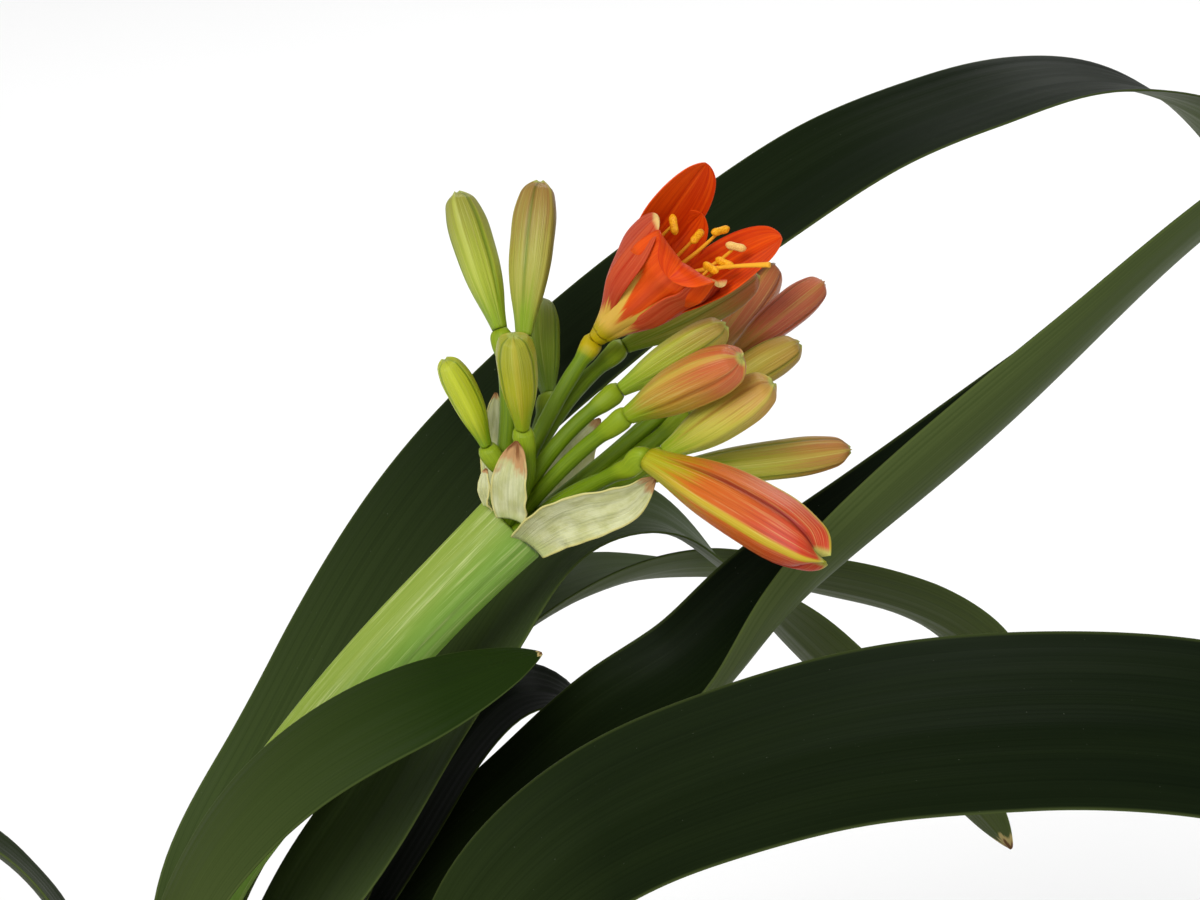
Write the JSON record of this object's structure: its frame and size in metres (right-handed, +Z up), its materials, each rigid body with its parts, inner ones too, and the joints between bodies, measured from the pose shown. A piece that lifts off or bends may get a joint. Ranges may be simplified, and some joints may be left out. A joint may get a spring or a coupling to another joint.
{
  "type": "potted clivia in flower",
  "caption": "Potted clivia with arching strap leaves in a fan, a flattened leaning flower stalk, an umbel of buds and one open funnel flower.",
  "frame": {"origin": "centre of the pot's underside", "axes": "+Z up; the flower stalk and the long leaves lean to +X; -Y is the side the plant was seen from"},
  "size_m": [0.6561, 0.3239, 0.4505],
  "materials": {
    "clay": "matte",
    "potting_soil": "matte",
    "leaf_green": "satin",
    "stalk_green": "satin",
    "bud_lime": "satin",
    "bud_coral": "satin",
    "petal_orange": "satin",
    "stamen_yellow": "matte",
    "paper_bract": "matte"
  },
  "bodies": {
    "root": {"pot": "clay", "soil": "potting_soil", "leaf_right_1": "leaf_green", "leaf_right_2": "leaf_green", "leaf_right_3": "leaf_green", "leaf_right_4": "leaf_green", "leaf_right_5": "leaf_green", "leaf_right_6": "leaf_green", "leaf_right_7": "leaf_green", "leaf_left_1": "leaf_green", "leaf_left_2": "leaf_green", "leaf_left_3": "leaf_green", "leaf_left_4": "leaf_green", "leaf_left_5": "leaf_green", "leaf_left_6": "leaf_green", "scape": "stalk_green", "bud_a": "bud_lime", "bud_b": "bud_lime", "bud_c": "bud_lime", "bud_d": "bud_lime", "bud_e": "bud_lime", "bud_g": "bud_lime", "bud_h": "bud_lime", "bud_i": "bud_coral", "bud_j": "bud_coral", "bud_k": "bud_coral", "bud_l": "bud_coral", "bud_m": "bud_coral", "bud_n": "bud_coral", "bud_o": "bud_coral", "flower": "petal_orange", "stamens": "stamen_yellow", "bract_near": "paper_bract", "bract_upright": "paper_bract", "bract_left": "paper_bract", "bract_small": "paper_bract", "bract_far": "paper_bract"}
  },
  "joints": []
}
